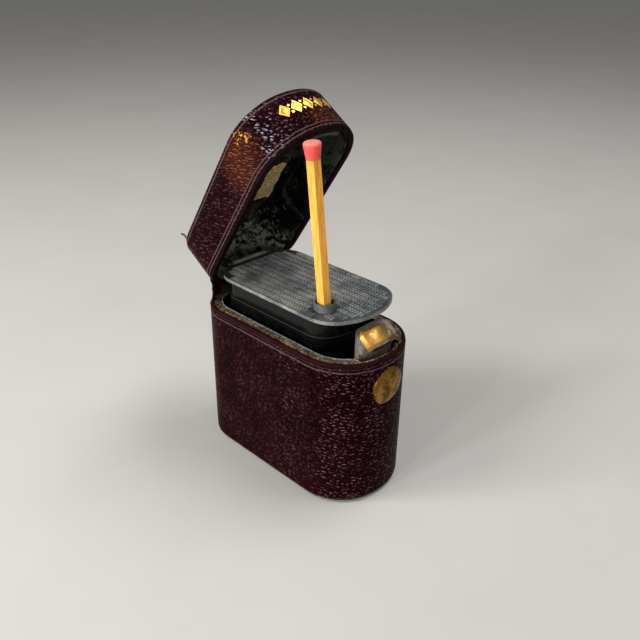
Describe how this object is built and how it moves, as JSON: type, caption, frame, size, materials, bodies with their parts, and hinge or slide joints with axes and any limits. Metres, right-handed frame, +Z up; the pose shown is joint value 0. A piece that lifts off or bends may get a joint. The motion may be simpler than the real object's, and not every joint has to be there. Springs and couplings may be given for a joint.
{
  "type": "pocket match case",
  "caption": "Leather-covered pocket match case with a sprung hinged lid, push-button catch, ribbed striking plate and a socket that holds one match upright.",
  "frame": {"origin": "centre of the flat base, on the surface that the case stands on", "axes": "+Z up, +X from the hinge side to the push-button side, Y across the width"},
  "size_m": [0.0593, 0.0274, 0.09],
  "materials": {
    "oxblood_leather": "gloss",
    "worn_band": "matt",
    "wood_core": "matt",
    "black_tin": "gloss",
    "grey_tin": "satin",
    "brass": "polished",
    "spring_steel": "satin",
    "match_wood": "matt",
    "match_tip": "matt",
    "black_lining": "gloss"
  },
  "bodies": {
    "case": {"base_leather": "oxblood_leather", "case_leather": "oxblood_leather", "case_core": "wood_core", "rim_band": "worn_band", "case_liner": "black_tin", "shoulder_plate": "black_tin", "match_box": "black_tin", "striking_plate": "grey_tin", "striker_leaf": "grey_tin", "striker_pin": "spring_steel", "match_socket": "grey_tin", "case_hinge_leaf": "brass", "hinge_rivets": "brass", "hinge_flap": "worn_band", "hinge_pin": "spring_steel", "hinge_spring": "spring_steel", "button_bush": "brass", "spring_clamp": "grey_tin"},
    "button": {"push_button": "brass", "button_collar": "brass"},
    "catch": {"catch_head": "brass", "catch_spring": "spring_steel", "catch_rivets": "brass"},
    "match": {"match_stick": "match_wood", "match_head": "match_tip"},
    "lid": {"lid_leather": "oxblood_leather", "lid_core": "wood_core", "lid_lining": "black_lining", "lid_lip": "worn_band", "lid_keeper": "grey_tin", "lid_hinge_leaf": "brass", "lid_rivets": "brass"}
  },
  "joints": [
    {"name": "lid_hinge", "type": "hinge", "parent": "case", "child": "lid", "pos_m": [-0.0263, 0, 0.0426], "axis": [0, 1, 0], "range_deg": [0, 56.5], "stiffness_Nm_per_rad": 0.004, "springref_deg": -34.38, "deforming": ["hinge_spring"]},
    {"name": "button_push", "type": "slide", "parent": "case", "child": "button", "axis": [-1, 0, 0], "range_m": [0, 0.0012], "stiffness_N_per_m": 200},
    {"name": "catch_slide", "type": "slide", "parent": "case", "child": "catch", "axis": [-1, 0, 0], "range_m": [0, 0.0012], "deforming": ["catch_spring"]},
    {"name": "match_lift", "type": "hinge", "parent": "case", "child": "match", "pos_m": [0.04233, 0, 0.048], "axis": [0, 1, 0], "range_deg": [0, 135.6]}
  ],
  "couplings": [
    {"joint": "catch_slide", "follows": "button_push", "ratio": 1},
    {"joint": "match_lift", "follows": "lid_hinge", "ratio": 2.4}
  ]
}
